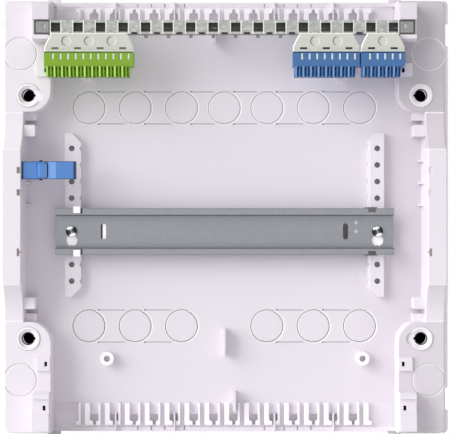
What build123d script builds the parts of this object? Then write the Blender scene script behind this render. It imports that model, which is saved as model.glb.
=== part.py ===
"""Open base of a one-row surface distribution box, with its rails, terminals and cable clip.

All lengths are in millimetres. The box hangs on a wall: X runs to the right, Z runs up, and
the open front faces -Y. Every height is measured out from the wall, which is the plane Y = 0.
"""
import os
from math import asin, atan, cos, degrees, radians, sin, tan

from build123d import *

# Outline of the moulding
half_width = 166.0          # side wall at the wall plane, before its draft
half_height = 163.0         # top and bottom walls at the wall plane
wall = 2.5                  # wall of the moulding
draft = 1.5                 # draft of the side channels and shelves, degrees
outer_corner_r = 5.0        # rounding of the four outer corners

# Heights above the wall plane
floor_lift = 3.5            # the floor panel stands clear of the wall by this
shelf_height = 25.0         # corner shelves that carry the wall screws
plateau_height = 39.0       # middle stretch of each side channel
low_wall_height = 8.0       # top and bottom walls, cut low for the cables
floor_face = floor_lift + wall

# Side channels and corner shelves, measured at the wall plane
channel_width = 15.8
shelf_width = 36.4
shelf_length = 84.7
channel_inner_x = half_width - channel_width
shelf_inner_x = half_width - shelf_width
shelf_end_z = half_height - shelf_length
shelf_corner_r = 16.5       # rounding of a shelf's free corner
ramp_length = 27.8          # concave ramp from a shelf up to the plateau
edge_chamfer = 0.6          # broken front edges

# Skirt that flares out at the foot of the side walls
skirt_reach = 4.0
skirt_height = 8.0
skirt_top = 20.0
skirt_notch_inset = 24.5
skirt_notch_z = half_height - skirt_notch_inset
skirt_notch_length = 17.5

# Floor panel
left_step_inset = 18.2      # the floor steps down beside the left end of each comb
left_step_x = shelf_inner_x - left_step_inset
strip_face = 4.4            # the lower floor at that end
low_wall_thickness = 3.0
back_rib_thickness = 2.0
back_rib_x = 86.0

# Lugs on the outside of the top and bottom walls
lug_width = 9.6
lug_middle_x = shelf_inner_x + 0.3
lug_reach = 2.6
lug_height = 6.0

# Wall fixings, one in each shelf
fixing_inset_x = 18.4
fixing_inset_z = 13.1
fixing_x = half_width - fixing_inset_x
fixing_z = shelf_end_z + fixing_inset_z
fixing_hole_r = 4.2
fixing_seat_r = 7.1
fixing_seat_depth = 1.2
fixing_ring_r = 8.7
fixing_ring_rise = 0.7
pillar_inner_r = 6.6
pillar_wall = 2.0
keyhole_width = 1.8
keyhole_reach = 5.6
side_pocket_r = 4.7
side_pocket_offset = 6.4
side_pocket_depth = 1.4

# Knock-outs: scored circles
knockout_r = 12.2
score_width = 1.2
score_depth = 0.65
knockout_pitch = 35.3
knockout_inset = 26.4
floor_knockout_z = 83.2
floor_knockout_x = [shelf_inner_x - knockout_inset - step * knockout_pitch for step in range(3)]
shelf_knockout_inset_x = 12.7
shelf_knockout_inset_z = 40.5
shelf_knockout_x = half_width - shelf_knockout_inset_x
shelf_knockout_z = half_height - shelf_knockout_inset_z
tangent_score_start = 6.6   # a straight score leaves a circle this far right of its centre
tangent_score_end = 7.8
tangent_score_width = 0.6
tangent_score_depth = 0.35

# Cable combs
comb_height = 10.0          # tips of the combs
comb_pitch = 15.14
comb_count = int((shelf_inner_x + left_step_x) // comb_pitch)
comb_first_x = 0.4 - left_step_x     # left edge of the first thin rib
thin_rib = 1.6
thick_rib = 3.7
rib_gap = 3.3               # from a thin rib to the thick rib after it
comb_root_inset = 21.6
comb_tip_inset = 4.9
pocket_inset = 12.8
comb_root_z = half_height - comb_root_inset
comb_tip_z = half_height - comb_tip_inset
pocket_start_z = half_height - pocket_inset
pocket_face = 2.2           # bottom of the pockets between the ribs
foot_length = 3.6
thin_foot_reach = 1.8
thick_foot_reach = 2.4
pin_x = (38.0, 82.7)
pin_thickness = 1.2
pin_height = 11.5
slit_x = (30.4, 45.4, 55.6, 65.9)
slit_width = 0.8
slit_depth = 3.0

# Ribs that carry the DIN rail
rail_rib_inset = 14.6
rail_rib_x = shelf_inner_x - rail_rib_inset
rail_rib_width = 12.4
rail_rib_height = 12.0
rail_rib_up = 63.8
rail_rib_down = 60.7
rail_rib_chamfer = 7.2
rail_hole_x = rail_rib_x + 1.0
rail_hole_r = 1.9
rail_hole_depth = 3.4
screw_hole_depth = 7.0
rail_hole_pitch = 12.6
rail_holes_above = 5
rail_holes_below = 3
scallop_r = 1.9
scallop_offset = 0.7
nib_x = rail_rib_x - 3.6
nib_width = 5.2
nib_thickness = 1.2
nib_cover = 3.6
nib_clearance = 0.2

# DIN rail, 35 x 7.5, one millimetre thick
rail_z = -10.9
rail_overhang = 13.0
rail_length = 2 * (rail_rib_x + rail_overhang)
rail_width = 35.0
rail_depth = 7.5
rail_sheet = 1.0
rail_lip = 5.0
rail_bend_r = 0.8
lip_notch_width = 5.8
lip_notch_depth = 2.8
keyhole_slot_r = 2.4
keyhole_round_r = 4.5
keyhole_drop = 6.7
rail_slot_inset = 24.2
rail_slot_x = rail_hole_x - rail_slot_inset
rail_slot_r = 1.9
rail_slot_length = 12.0

# Screws of the DIN rail
screw_head_r = 4.2
screw_head_height = 2.6
screw_shank_r = 1.85
screw_shank_length = screw_hole_depth + rail_sheet - 0.5
cross_length = 4.8
cross_width = 1.0
cross_depth = 1.6

# Small solid forms on the floor and walls
boss_r = 5.3
boss_hole_r = 2.3
boss_height = 7.0
boss_z = 107.5
boss_x_near = 89.2
boss_x_far = 104.8
fin_thickness = 1.9
fin_height = 10.0
fin_z = (84.5, 105.3)
comb_fin_x = 7.4
comb_fin_thickness = 2.5
comb_fin_z = (comb_root_z - 9.2, comb_root_z + 5.9)
post_reach = 7.7
post_inner_x = channel_inner_x - post_reach
post_z = shelf_end_z - 13.4
post_size = 8.7
post_height = 25.0
side_post_z = shelf_end_z - 2.4
side_post_size = 6.0
side_post_height = 17.0

# Corner towers that hold the terminal carrier rail
tower_inset = 29.3
tower_x = half_width - tower_inset
tower_width = 12.4
tower_z = (half_height - 32.0, half_height - 3.8)
tower_seat = 37.8
tower_top = tower_seat + 2.5
tower_nose_height = tower_seat + 1.6
slot_width = 2.2
slot_length = 3.8
slot_x = tower_x - 2.5
shelf_block_x = tower_x - 0.7
shelf_block_z = half_height - 52.6
shelf_block_size = 10.2
shelf_block_height = 27.0

# Terminal carrier rail, a folded steel channel with a window for each terminal
carrier_inset = 21.9
carrier_z = half_height - carrier_inset
carrier_width = 10.4
carrier_depth = 8.0
carrier_sheet = 1.2
carrier_lip = 5.0
carrier_tab_end = tower_x + 4.9
carrier_clearance = 0.4
window_pitch = 16.73
window_width = 7.1
window_height = 6.7
window_rise = -0.1
window_count = int((2 * shelf_inner_x - window_width) // window_pitch) + 1
notch_width = 4.6
notch_depth = 1.4
notch_reach = 2.6
carrier_tab_hole = (2.4, 3.6)
spring_tab_width = 2.6
spring_tab_drop = 2.2

# Terminal blocks, which are clipped to the carrier rail
block_gap = 1.0
block_step = tower_seat + 3.2
block_front = block_step + 5.0
block_back = tower_seat - 9.3
block_tail_back = block_step - 8.4
block_top_z = carrier_z - 5.7
block_step_z = block_top_z - 13.2
block_bottom_z = block_top_z - 31.2
block_knee_z = block_bottom_z + 7.3
block_knee_height = block_front - 2.4
block_wall = 2.0
port_width = 3.7
port_tongue = 1.3
port_height = 7.4
port_first = 4.9
release_first = 6.6
release_width = 1.5
release_low_z = block_step_z - 5.9
release_high_z = block_step_z - 1.2
lower_inset_left = 1.2
lower_inset_right = 3.0
divider_width = 1.4
divider_proud = 0.5
plate_thickness = 2.9
plate_low_z = block_step_z + 0.2
plate_shoulder_z = plate_low_z + 4.0
plate_high_z = block_top_z + 0.8
plate_inset = 4.9
plate_clearance = 0.1
plate_chamfer = 0.7
dial_r = 3.4
dial_depth = 0.4
dial_z = plate_low_z + 7.8
hook_width = 4.0
hook_thickness = 1.3
hook_reach = 1.0
hook_depth = 1.4
busbar_height = 3.0
busbar_z = (block_bottom_z + 6.0, block_bottom_z + 15.7)
spring_sheet = 0.4
spring_width = 3.2
spring_back_inset = 1.2
spring_top_length = 4.4
spring_reach = 9.5
spring_foot = 5.0
spring_tip_rise = 4.0
spring_tab_clearance = 0.1
spring_tab_sink = 0.4

# Cable clip on the left side channel
clip_z = 34.8
clip_length = 13.2
clip_front = plateau_height - 2.1
clip_back = clip_front - 8.9
clip_hinge_inset = 13.2
clip_hinge_x = clip_hinge_inset - channel_inner_x
clip_barrel_r = 3.4
clip_hinge_gap = 0.4
clip_cheek = 1.3
clip_cheek_r = 5.0          # rounded end of a cheek, about the hinge
clip_side_gap = 0.15
clip_groove = 0.6
clip_groove_depth = 0.9
clip_ramp = 5.9
clip_arm_length = 26.1
clip_arm_end_x = clip_hinge_x + clip_arm_length
clip_arm_thickness = 2.4
clip_arm_chamfer = 1.1
clip_hook_height = 8.5
clip_hook_thickness = 1.8
clip_pin_r = 1.2
clip_pin_clearance = 0.05
clip_pin_length = 15.0
clip_tongue_width = 4.4
clip_tongue_reach = 2.4
clip_tongue_height = 4.0
clip_tongue_drop = 1.7
notch_clearance = 0.25
side_notch_z = (clip_z, clip_z - 16.5)
side_notch_length = 4.6
side_notch_width = 2.6
side_notch_deep = 1.7
side_notch_land = 0.5
tee_notch_z = -26.2
tee_notch_length = 5.6
tee_notch_width = 1.7
tee_stem_width = 1.6
wall_nub_z = (42.6, 25.8, 9.1)
wall_nub_reach = 2.8
wall_nub_thickness = 1.6
wall_nub_height = 15.0


def on_wall(shape, low, high, taper=0.0):
    """Extrude a sketch drawn in X and Z, from one height above the wall to another."""
    return extrude(Plane.XZ.offset(low) * shape, amount=high - low, taper=taper)


def block(x_low, x_high, low, high, z_low, z_high):
    """A plain block between two values of X, two heights and two values of Z."""
    size = (x_high - x_low, high - low, z_high - z_low)
    centre = Pos((x_low + x_high) / 2, -(low + high) / 2, (z_low + z_high) / 2)
    return centre * Box(*size)


def post(x, z, radius, low, high):
    """A round post or hole that stands square to the wall."""
    return on_wall(Pos(x, z) * Circle(radius), low, high)


def along_x(points, x_low, x_high):
    """Extrude a polygon of (z, height) points along X."""
    outline = Polyline(*[(-height, z) for z, height in points], close=True)
    return extrude(Plane.YZ.offset(x_low) * make_face(outline), amount=x_high - x_low)


def along_z(points, z_low, z_high):
    """Extrude a polygon of (x, height) points along Z."""
    outline = Polyline(*[(x, -height) for x, height in points], close=True)
    return extrude(Plane.XY.offset(z_low) * make_face(outline), amount=z_high - z_low)


def round_corner(face, x, z, radius):
    """Round the corner of a sketch that lies nearest to a point."""
    corner = min(face.vertices(), key=lambda v: (v.X - x) ** 2 + (v.Y - z) ** 2)
    return fillet(corner, radius)


def scored_circle(x, z, face):
    """The V-shaped ring cut that makes a knock-out, down from a face at the given height."""
    circle = Pos(x, z) * Circle(knockout_r)
    flank = degrees(atan(score_width / 2 / score_depth))
    wide = on_wall(circle, face - score_depth, face + 0.1, -flank)
    return wide - on_wall(circle, face - score_depth, face + 0.1, flank)


def tangent_scores(middles, z, face):
    """Straight scores that join neighbouring floor knock-outs along their top and bottom."""
    scores = []
    middles = sorted(middles)
    for left, right in zip(middles, middles[1:]):
        if right - left < 1.5 * knockout_pitch:
            for edge in (z - knockout_r, z + knockout_r):
                scores.append(
                    block(
                        left + tangent_score_start,
                        right - tangent_score_end,
                        face - tangent_score_depth,
                        face + 1,
                        edge - tangent_score_width / 2,
                        edge + tangent_score_width / 2,
                    )
                )
    return scores


def side_outline():
    """Footprint of the right side channel with its two corner shelves."""
    channel = Pos((channel_inner_x + half_width) / 2, 0) * Rectangle(
        half_width - channel_inner_x, 2 * half_height
    )
    face = channel
    for side in (1, -1):
        shelf_z = side * (half_height + shelf_end_z) / 2
        shelf = Rectangle(half_width - shelf_inner_x, half_height - shelf_end_z)
        face += Pos((shelf_inner_x + half_width) / 2, shelf_z) * shelf
    for side in (1, -1):
        face = round_corner(face, shelf_inner_x, side * shelf_end_z, shelf_corner_r)
        face = round_corner(face, half_width, side * half_height, outer_corner_r)
    return face


def side_profile(drop):
    """Front face of a side, shelf, ramp, plateau, ramp and shelf, lowered by a drop."""
    rise = plateau_height - shelf_height
    radius = (ramp_length**2 + rise**2) / (2 * rise)
    half_turn = asin(ramp_length / radius) / 2
    plateau_z = shelf_end_z - ramp_length
    ramp_middle_z = shelf_end_z - radius * sin(half_turn)
    ramp_middle = shelf_height + radius * (1 - cos(half_turn))
    reach = half_height + 1
    back = -10.0
    shelf = shelf_height - drop
    top = plateau_height - drop
    middle = ramp_middle - drop
    edges = [
        Line((-back, -reach), (-shelf, -reach)),
        Line((-shelf, -reach), (-shelf, -shelf_end_z)),
        ThreePointArc((-shelf, -shelf_end_z), (-middle, -ramp_middle_z), (-top, -plateau_z)),
        Line((-top, -plateau_z), (-top, plateau_z)),
        ThreePointArc((-top, plateau_z), (-middle, ramp_middle_z), (-shelf, shelf_end_z)),
        Line((-shelf, shelf_end_z), (-shelf, reach)),
        Line((-shelf, reach), (-back, reach)),
        Line((-back, reach), (-back, -reach)),
    ]
    return Plane.YZ.offset(100.0) * make_face(Wire(edges))


def side_shell():
    """Right side of the moulding: channel and shelves, hollow towards the wall."""
    outline = side_outline()
    depth = plateau_height + 5
    outside = on_wall(outline, 0, depth, draft) & extrude(side_profile(0), amount=100)
    front_edges = outside.edges().filter_by(lambda e: e.center().Y < -shelf_height + 0.5)
    outside = chamfer(front_edges.filter_by(lambda e: e.center().X < channel_inner_x + 3), edge_chamfer)
    inner = offset(outline, amount=-wall, kind=Kind.INTERSECTION)
    inside = on_wall(inner, -1, depth, draft) & extrude(side_profile(wall), amount=100)
    shell = outside - inside
    base = half_width - 1
    skirt_edge = half_width + skirt_reach
    reach = half_height
    skirt = along_z(
        [(base, 0), (skirt_edge, 0), (skirt_edge, skirt_height), (base, skirt_top)], -reach, reach
    )
    skirt = fillet(
        skirt.edges().filter_by(Axis.Y).filter_by(lambda e: e.center().X > base + 1), outer_corner_r / 2
    )
    relief = along_z(
        [
            (base - wall, -1),
            (skirt_edge - wall, -1),
            (skirt_edge - wall, skirt_height - wall / 2),
            (base - wall, skirt_top - wall),
        ],
        wall - reach,
        reach - wall,
    )
    shell = (shell + skirt) - relief
    for side in (1, -1):
        middle = side * skirt_notch_z
        shell -= block(
            half_width + wall / 2,
            skirt_edge + 1,
            -1,
            skirt_top,
            middle - skirt_notch_length / 2,
            middle + skirt_notch_length / 2,
        )
    return shell


def wall_fixing(x, z, pocket_side):
    """Screw seat in a shelf with its pillar: the solid to add, then the solid to cut."""
    seat = shelf_height - fixing_seat_depth
    pillar = post(x, z, pillar_inner_r + pillar_wall, 0, shelf_height - wall / 2)
    pillar += post(x, z, fixing_ring_r, shelf_height - wall / 2, shelf_height + fixing_ring_rise)
    cut = post(x, z, fixing_seat_r, seat, shelf_height + fixing_ring_rise + 1)
    cut += post(x, z, pillar_inner_r, -1, seat - wall)
    cut += post(x, z, fixing_hole_r, -1, shelf_height)
    inward = -1 if x > 0 else 1
    key = Pos(x + inward * keyhole_reach / 2, z) * Rectangle(keyhole_reach, keyhole_width)
    cut += on_wall(key, seat - wall - 1, shelf_height + 1)
    if pocket_side:
        pocket_x = x + inward * side_pocket_offset
        cut += post(pocket_x, z, side_pocket_r, shelf_height - side_pocket_depth, shelf_height + 2)
    return pillar, cut


def tower(side_x, side_z, slotted):
    """Corner tower with the seat for one end of the terminal carrier rail."""
    low_z, high_z = tower_z
    seat_low = carrier_z - carrier_width / 2 - carrier_clearance
    seat_high = carrier_z + carrier_width / 2 + carrier_clearance
    points = [
        (low_z, shelf_height - wall),
        (low_z, tower_nose_height - 3),
        (low_z + 1.5, tower_nose_height),
        (seat_low, tower_nose_height),
        (seat_low, tower_seat),
        (seat_high, tower_seat),
        (seat_high, tower_top),
        (high_z, tower_top),
        (high_z, shelf_height - wall),
    ]
    points = [(side_z * z, height) for z, height in points]
    middle = side_x * tower_x
    solid = along_x(points, middle - tower_width / 2, middle + tower_width / 2)
    hollow_points = [
        (side_z * (low_z + wall), -1),
        (side_z * (low_z + wall), tower_seat - wall),
        (side_z * (high_z - wall), tower_seat - wall),
        (side_z * (high_z - wall), -1),
    ]
    hollow = along_x(hollow_points, middle - tower_width / 2 + wall, middle + tower_width / 2 - wall)
    cut = hollow
    slot_z = side_z * (carrier_z + 1.0)
    if slotted:
        slot = Pos(side_x * slot_x, slot_z) * Rectangle(slot_width, slot_length)
        cut += on_wall(slot, -1, tower_top + 1)
    return solid, cut


def shelf_block(side_x, side_z):
    """Low square block beside a shelf knock-out, with a slot right through."""
    half = shelf_block_size / 2
    x = side_x * shelf_block_x
    z = side_z * shelf_block_z
    solid = block(x - half, x + half, shelf_height - wall, shelf_block_height, z - half, z + half)
    slot = Pos(side_x * slot_x, z) * Rectangle(slot_width, slot_length)
    return solid, on_wall(slot, -1, shelf_block_height + 1)


def floor_panel(sides):
    """Raised floor with its comb strips, low walls and back ribs, between the two side shells."""
    inside = shelf_inner_x + wall / 2
    low_wall_z = half_height - low_wall_thickness
    floor_end = low_wall_z + low_wall_thickness / 2
    centre = Rectangle(2 * (channel_inner_x + wall / 2), 2 * floor_end)
    for side in (1, -1):
        step = Rectangle(half_width - left_step_x, floor_end - comb_root_z)
        middle_z = side * (comb_root_z + floor_end) / 2
        centre -= Pos(-(left_step_x + half_width) / 2, middle_z) * step
    for hollow in sides:
        centre -= offset(hollow, amount=-wall / 2, kind=Kind.INTERSECTION)
    panel = on_wall(centre, floor_lift, floor_face)
    for side in (1, -1):
        near, far = sorted((side * (comb_root_z - wall), side * floor_end))
        panel += block(-inside, wall / 2 - left_step_x, strip_face - wall, strip_face, near, far)
        near, far = sorted((side * (pocket_start_z - wall / 2), side * floor_end))
        panel += block(-left_step_x, inside, 0, floor_lift + wall / 2, near, far)
        near, far = sorted((side * low_wall_z, side * half_height))
        panel += block(-inside, inside, 0, low_wall_height, near, far)
    for x in (-back_rib_x, 0.0, back_rib_x):
        half = back_rib_thickness / 2
        panel += block(x - half, x + half, 0, floor_face - wall / 2, -pocket_start_z, pocket_start_z)
    half = back_rib_thickness / 2
    reach = channel_inner_x + wall / 2
    panel += block(-reach, reach, 0, floor_face - wall / 2, -half, half)
    return panel


def comb_pockets(side):
    """Pockets in the floor between each thick rib and the thin rib after it."""
    pockets = []
    near, far = sorted((side * pocket_start_z, side * comb_tip_z))
    for index in range(comb_count - 1):
        low = comb_first_x + index * comb_pitch + thin_rib + rib_gap + thick_rib
        high = comb_first_x + (index + 1) * comb_pitch
        pockets.append(block(low, high, pocket_face, floor_face + 0.1, near, far))
    return pockets


def comb(side):
    """One row of barbed ribs between the floor and the low wall."""
    ribs = []
    root = comb_root_z
    tip = comb_tip_z
    foot = tip - foot_length
    for index in range(comb_count):
        thin = comb_first_x + index * comb_pitch
        thick = thin + thin_rib + rib_gap
        thin_points = [
            (thin + thin_rib, root),
            (thin + thin_rib, tip),
            (thin - thin_foot_reach, tip),
            (thin - thin_foot_reach, foot + 1),
            (thin, foot),
            (thin, root),
        ]
        thick_points = [
            (thick, root),
            (thick, tip),
            (thick + thick_rib + thick_foot_reach, tip),
            (thick + thick_rib + thick_foot_reach, foot + 1),
            (thick + thick_rib, foot),
            (thick + thick_rib, root),
        ]
        for points in (thin_points, thick_points):
            outline = Polyline(*[(x, side * z) for x, z in points], close=True)
            ribs.append(on_wall(make_face(outline), floor_lift, comb_height))
    for x in pin_x:
        for pin in (-x, x):
            near, far = sorted((side * (pocket_start_z - wall / 2), side * half_height))
            half = pin_thickness / 2
            ribs.append(block(pin - half, pin + half, pocket_face / 2, pin_height, near, far))
    return ribs


def lugs(side):
    """Two lugs on the outside of the top or the bottom wall."""
    near, far = sorted((side * (half_height - low_wall_thickness / 2), side * (half_height + lug_reach)))
    half = lug_width / 2
    return [block(x - half, x + half, 0, lug_height, near, far) for x in (-lug_middle_x, lug_middle_x)]


def slits(side):
    """Break-out slits in one of the low walls."""
    near, far = sorted((side * (half_height - low_wall_thickness - 1), side * (half_height + 1)))
    half = slit_width / 2
    base = low_wall_height - slit_depth
    return [
        block(x - half, x + half, base, low_wall_height + 1, near, far)
        for place in slit_x
        for x in (-place, place)
    ]


def rail_rib(side):
    """Rib that carries one end of the DIN rail: the solid to add, then the solid to cut."""
    inner_x = side * (rail_rib_x - rail_rib_width / 2)
    outer_x = side * (rail_rib_x + rail_rib_width / 2)
    edge = rail_rib_chamfer
    outline = Polyline(
        (outer_x, rail_rib_up),
        (inner_x + side * edge, rail_rib_up),
        (inner_x, rail_rib_up - edge),
        (inner_x, edge - rail_rib_down),
        (inner_x + side * edge, -rail_rib_down),
        (outer_x, -rail_rib_down),
        close=True,
    )
    footprint = make_face(outline)
    solid = on_wall(footprint, floor_lift, rail_rib_height)
    hole_x = side * rail_hole_x
    cut = []
    for index in range(-rail_holes_below, rail_holes_above + 1):
        z = rail_z + index * rail_hole_pitch
        depth = rail_hole_depth if index else screw_hole_depth
        low = rail_rib_height - depth
        cut.append(post(hole_x, z, rail_hole_r, low, rail_rib_height + 1))
        edge_x = inner_x - side * scallop_offset
        cut.append(post(edge_x, z, scallop_r, floor_face, rail_rib_height + 1))
    return solid, cut


def rail_nibs(side):
    """Two hooks on a rail rib that reach over the lips of the DIN rail."""
    nibs = []
    x_low, x_high = sorted((side * nib_x - nib_width / 2, side * nib_x + nib_width / 2))
    lip = rail_rib_height + rail_depth + nib_clearance
    half_rail = rail_width / 2
    outside = half_rail + nib_clearance + nib_thickness
    for way in (1, -1):
        points = [
            (half_rail + nib_clearance, rail_rib_height - wall / 2),
            (half_rail + nib_clearance, lip),
            (half_rail - nib_cover, lip),
            (half_rail - nib_cover, lip + nib_thickness / 2),
            (half_rail, lip + nib_thickness),
            (outside, lip + nib_thickness / 2),
            (outside, rail_rib_height - wall / 2),
        ]
        points = [(rail_z + way * z, height) for z, height in points]
        nibs.append(along_x(points, x_low, x_high))
    return nibs


def side_notch(side, z):
    """Shallow pocket in a plateau, just outside its inner edge."""
    inner = channel_inner_x + plateau_height * tan(radians(draft)) + side_notch_land
    half = side_notch_length / 2
    x_low, x_high = sorted((side * inner, side * (inner + side_notch_width)))
    base = plateau_height - side_notch_deep
    return block(x_low, x_high, base, plateau_height + 1, z - half, z + half)


def clip_slot():
    """Slot through the inner wall of the left channel, for the tongue of the cable clip."""
    half = clip_tongue_width / 2 + notch_clearance
    high = clip_front - clip_tongue_drop + notch_clearance
    low = high - clip_tongue_height - 2 * notch_clearance
    reach = channel_inner_x + plateau_height * tan(radians(draft)) + wall + 1
    return block(-reach, 1 - channel_inner_x, low, high, clip_z - half, clip_z + half)


def tee_notch(side):
    """T-shaped pocket in the inner edge of a plateau."""
    inner = channel_inner_x + plateau_height * tan(radians(draft))
    base = plateau_height - side_notch_deep
    top = plateau_height + 1
    half = tee_stem_width / 2
    head_x = inner + side_notch_land + tee_notch_width / 2
    low, high = sorted((side * (inner - 1), side * head_x))
    stem = block(low, high, base, top, tee_notch_z - half, tee_notch_z + half)
    low, high = sorted((side * (head_x - 0.1), side * (head_x + tee_notch_width)))
    half = tee_notch_length / 2
    return [stem, block(low, high, base, top, tee_notch_z - half, tee_notch_z + half)]


def rear_housing():
    """The whole moulding."""
    right = side_shell()
    left = mirror(right, about=Plane.YZ)
    outline = side_outline()
    panel = floor_panel((outline, mirror(outline, about=Plane.YZ)))
    body = right + left + panel
    added = []
    removed = []
    for side_x in (-1, 1):
        for side_z in (-1, 1):
            pocket = side_x * side_z < 0
            for solid, cut in (
                wall_fixing(side_x * fixing_x, side_z * fixing_z, pocket),
                tower(side_x, side_z, side_z < 0),
                shelf_block(side_x, side_z),
            ):
                added.append(solid)
                removed.append(cut)
            removed.append(scored_circle(side_x * shelf_knockout_x, side_z * shelf_knockout_z, shelf_height))
            wall_x = side_x * (channel_inner_x + wall / 2)
            x_low, x_high = sorted((side_x * post_inner_x, wall_x))
            near = side_z * post_z - post_size / 2
            added.append(block(x_low, x_high, floor_lift, post_height, near, near + post_size))
            near = side_z * side_post_z - side_post_size / 2
            added.append(block(x_low, x_high, floor_lift, side_post_height, near, near + side_post_size))
        solid, cut = rail_rib(side_x)
        added.append(solid)
        removed.extend(cut)
    for x, z in (
        (-boss_x_near, -boss_z),
        (boss_x_far, -boss_z),
        (-boss_x_far, boss_z),
        (boss_x_near, boss_z),
    ):
        added.append(post(x, z, boss_r, floor_lift, floor_face + boss_height))
        removed.append(post(x, z, boss_hole_r, floor_face, floor_face + boss_height + 1))
    half = fin_thickness / 2
    added.append(block(-half, half, floor_lift, floor_face + fin_height, -fin_z[1], -fin_z[0]))
    half = comb_fin_thickness / 2
    fin_top = floor_face + fin_height
    added.append(
        block(comb_fin_x - half, comb_fin_x + half, floor_lift, fin_top, -comb_fin_z[1], -comb_fin_z[0])
    )
    added.append(
        block(-comb_fin_x - half, half - comb_fin_x, floor_lift, fin_top, comb_fin_z[0], comb_fin_z[1])
    )
    for side in (-1, 1):
        added.extend(lugs(side))
        removed.extend(slits(side))
    for side in (-1, 1):
        for z in side_notch_z:
            removed.append(side_notch(side, z))
        removed.extend(tee_notch(side))
        for z in wall_nub_z:
            x_low, x_high = sorted(
                (side * (channel_inner_x - wall_nub_reach), side * (channel_inner_x + wall / 2))
            )
            half = wall_nub_thickness / 2
            added.append(block(x_low, x_high, floor_lift, wall_nub_height, z - half, z + half))
    removed.append(clip_slot())
    for z in (-floor_knockout_z, floor_knockout_z):
        middles = [way * x for way in (-1, 1) for x in floor_knockout_x]
        if z > 0:
            middles.append(0.0)
        removed.extend(scored_circle(x, z, floor_face) for x in middles)
        removed.extend(tangent_scores(middles, z, floor_face))
    for side in (-1, 1):
        body -= comb_pockets(side)
        added.extend(comb(side))
    body = body + added - removed
    return body + rail_nibs(-1)


def din_rail():
    """Top-hat rail with a keyhole and a slot at each end."""
    base = rail_rib_height
    top = base + rail_depth
    half = rail_width / 2
    web = half - rail_lip
    sheet = rail_sheet
    upper = [
        (half, top),
        (half, top - sheet),
        (web + sheet, top - sheet),
        (web + sheet, base),
    ]
    inner = [(web, base + sheet), (web, top)]
    points = (
        upper
        + [(-z, height) for z, height in reversed(upper)]
        + [(-z, height) for z, height in reversed(inner)]
        + inner
    )
    points = [(rail_z + z, height) for z, height in points]
    rail = along_x(points, -rail_length / 2, rail_length / 2)
    bends = [
        edge
        for edge in rail.edges().filter_by(Axis.X)
        if abs(abs(edge.center().Z - rail_z) - web) < sheet + 0.1
    ]
    outer = [e for e in bends if _outer_bend(e, base, top, web, sheet)]
    inner_bends = [e for e in bends if e not in outer]
    rail = fillet(inner_bends, rail_bend_r / 2)
    notch = lip_notch_width / 2
    for end_x in (-nib_x, nib_x):
        for way in (-1, 1):
            near, far = sorted((rail_z + way * (half - lip_notch_depth), rail_z + way * (half + 1)))
            rail -= block(end_x - notch, end_x + notch, top - sheet - 1, top + 1, near, far)
    for side in (-1, 1):
        hole_x = side * rail_hole_x
        slot_points = Pos(hole_x, rail_z - keyhole_drop / 2) * Rectangle(
            2 * keyhole_slot_r, keyhole_drop
        )
        keyhole = slot_points + Pos(hole_x, rail_z) * Circle(keyhole_slot_r)
        keyhole += Pos(hole_x, rail_z - keyhole_drop) * Circle(keyhole_round_r)
        rail -= on_wall(keyhole, base - 1, base + sheet + 1)
        slot = Pos(side * rail_slot_x, rail_z) * Rotation(0, 0, 90) * SlotOverall(
            rail_slot_length, 2 * rail_slot_r
        )
        rail -= on_wall(slot, base - 1, base + sheet + 1)
    return rail


def _outer_bend(edge, base, top, web, sheet):
    """True for the four long edges on the outside of the bends."""
    at_base = abs(-edge.center().Y - base) < 0.1
    at_top = abs(-edge.center().Y - top) < 0.1
    return at_base or at_top


def din_rail_screw(side):
    """Cross-recess pan-head screw."""
    seat = rail_rib_height + rail_sheet
    x = side * rail_hole_x
    head = post(x, rail_z, screw_head_r, seat, seat + screw_head_height)
    rim = head.edges().filter_by(GeomType.CIRCLE).sort_by(Axis.Y)[0]
    head = chamfer(rim, screw_head_height / 2)
    shank = post(x, rail_z, screw_shank_r, seat - screw_shank_length, seat)
    cross = Rectangle(cross_length, cross_width) + Rectangle(cross_width, cross_length)
    top = seat + screw_head_height
    turned = Pos(x, rail_z) * Rotation(0, 0, 20) * cross
    return head + shank - on_wall(turned, top - cross_depth, top + 1)


def carrier_rail():
    """Folded channel that the terminals clip to, with a flat tab at each end."""
    front = tower_seat + carrier_sheet
    back = front - carrier_depth
    low = carrier_z - carrier_width / 2
    high = carrier_z + carrier_width / 2
    sheet = carrier_sheet
    points = [
        (low, front),
        (high, front),
        (high, back),
        (high - carrier_lip, back),
        (high - carrier_lip, back + sheet),
        (high - sheet, back + sheet),
        (high - sheet, front - sheet),
        (low + sheet, front - sheet),
        (low + sheet, back + sheet),
        (low + carrier_lip, back + sheet),
        (low + carrier_lip, back),
        (low, back),
    ]
    channel_end = tower_x - tower_width / 2 - carrier_clearance
    rail = along_x(points, -channel_end, channel_end)
    rail += block(-carrier_tab_end, carrier_tab_end, front - sheet, front, low, high)
    for index in range(window_count):
        x = (index - (window_count - 1) / 2) * window_pitch
        window = Pos(x, carrier_z + window_rise) * Rectangle(window_width, window_height)
        rail -= on_wall(window, front - sheet - 0.5, front + 1)
    for index in range(window_count - 1):
        x = (index - (window_count - 2) / 2) * window_pitch
        half = notch_width / 2
        inside = front - sheet - notch_reach
        rail -= block(x - half, x + half, inside, front + 1, low - 1, low + notch_depth)
    for index in range(window_count):
        x = window_centre(index)
        half = spring_tab_width / 2
        rail += block(x - half, x + half, back, back + sheet, low - spring_tab_drop, low + sheet)
    width, height = carrier_tab_hole
    for side in (-1, 1):
        hole = Pos(side * slot_x, carrier_z + 1.0) * Rectangle(width, height)
        rail -= on_wall(hole, front - sheet - 1, front + 1)
    return rail


def window_centre(index):
    """X of one window of the carrier rail, counted from the left."""
    return (index - (window_count - 1) / 2) * window_pitch


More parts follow.
